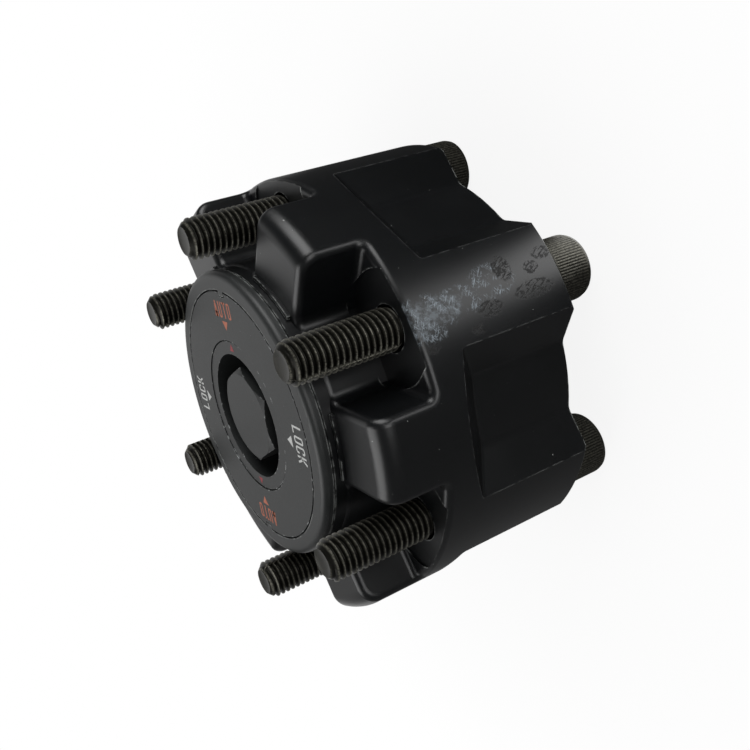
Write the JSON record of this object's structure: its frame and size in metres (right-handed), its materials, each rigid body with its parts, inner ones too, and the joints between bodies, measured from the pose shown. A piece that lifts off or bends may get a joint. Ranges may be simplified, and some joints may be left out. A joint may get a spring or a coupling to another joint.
{
  "type": "free-wheel locking hub",
  "caption": "Round cast axle hub with an automatic and locked selector dial, sliding clutch ring and splined drive hub, with its flange screws pushed in from behind.",
  "frame": {"origin": "centre of the pilot bore in the rear mounting face", "axes": "+Z along the axle towards the dial, +Y towards the upper AUTO mark"},
  "size_m": [0.1096, 0.1096, 0.0783],
  "materials": {
    "black_casting_paint": "satin black paint on a casting, scuffed",
    "phosphated_steel": "oiled black phosphate",
    "label_charcoal": "satin charcoal paint with printed marks",
    "dial_charcoal": "satin charcoal paint",
    "seal_rubber": "moulded",
    "spring_steel": "drawn wire and stamped strip, oiled",
    "bearing_steel": "ground and polished",
    "machined_steel": "turned and broached, oiled",
    "cage_brass": "stamped"
  },
  "bodies": {
    "casing": {"hub_body": "black_casting_paint", "flange_bolts": "phosphated_steel", "label_plate": "label_charcoal", "rear_seal_ring": "seal_rubber", "dial_circlip": "spring_steel", "detent_ball": "bearing_steel", "detent_spring": "spring_steel", "bearing_outer_ring": "bearing_steel", "bearing_circlip": "spring_steel"},
    "dial": {"selector_dial": "dial_charcoal", "dial_seal_ring": "seal_rubber"},
    "clutch": {"shift_follower": "machined_steel", "cam_pins": "bearing_steel", "shift_spring": "spring_steel", "clutch_ring": "machined_steel", "follower_circlip": "spring_steel"},
    "drive": {"drive_hub": "machined_steel", "drive_circlip": "spring_steel", "bearing_inner_ring": "bearing_steel", "return_spring": "spring_steel"},
    "ball_set": {"bearing_balls": "bearing_steel", "bearing_cage": "cage_brass"}
  },
  "joints": [
    {"name": "dial_turn", "type": "hinge", "parent": "casing", "child": "dial", "pos_m": [0, 0, 0.058], "axis": [0, 0, -1], "range_deg": [0, 90]},
    {"name": "clutch_shift", "type": "slide", "parent": "casing", "child": "clutch", "axis": [0, 0, -1], "range_m": [0, 0.009], "deforming": ["return_spring"]},
    {"name": "drive_spin", "type": "hinge", "parent": "casing", "child": "drive", "pos_m": [0, 0, 0.0096], "axis": [0, 0, 1], "continuous": true},
    {"name": "ball_roll", "type": "hinge", "parent": "casing", "child": "ball_set", "pos_m": [0, 0, 0.0096], "axis": [0, 0, 1], "continuous": true}
  ],
  "couplings": [
    {"joint": "clutch_shift", "follows": "dial_turn", "m_per_rad": 0.0057296},
    {"joint": "ball_roll", "follows": "drive_spin", "ratio": 0.4672}
  ]
}
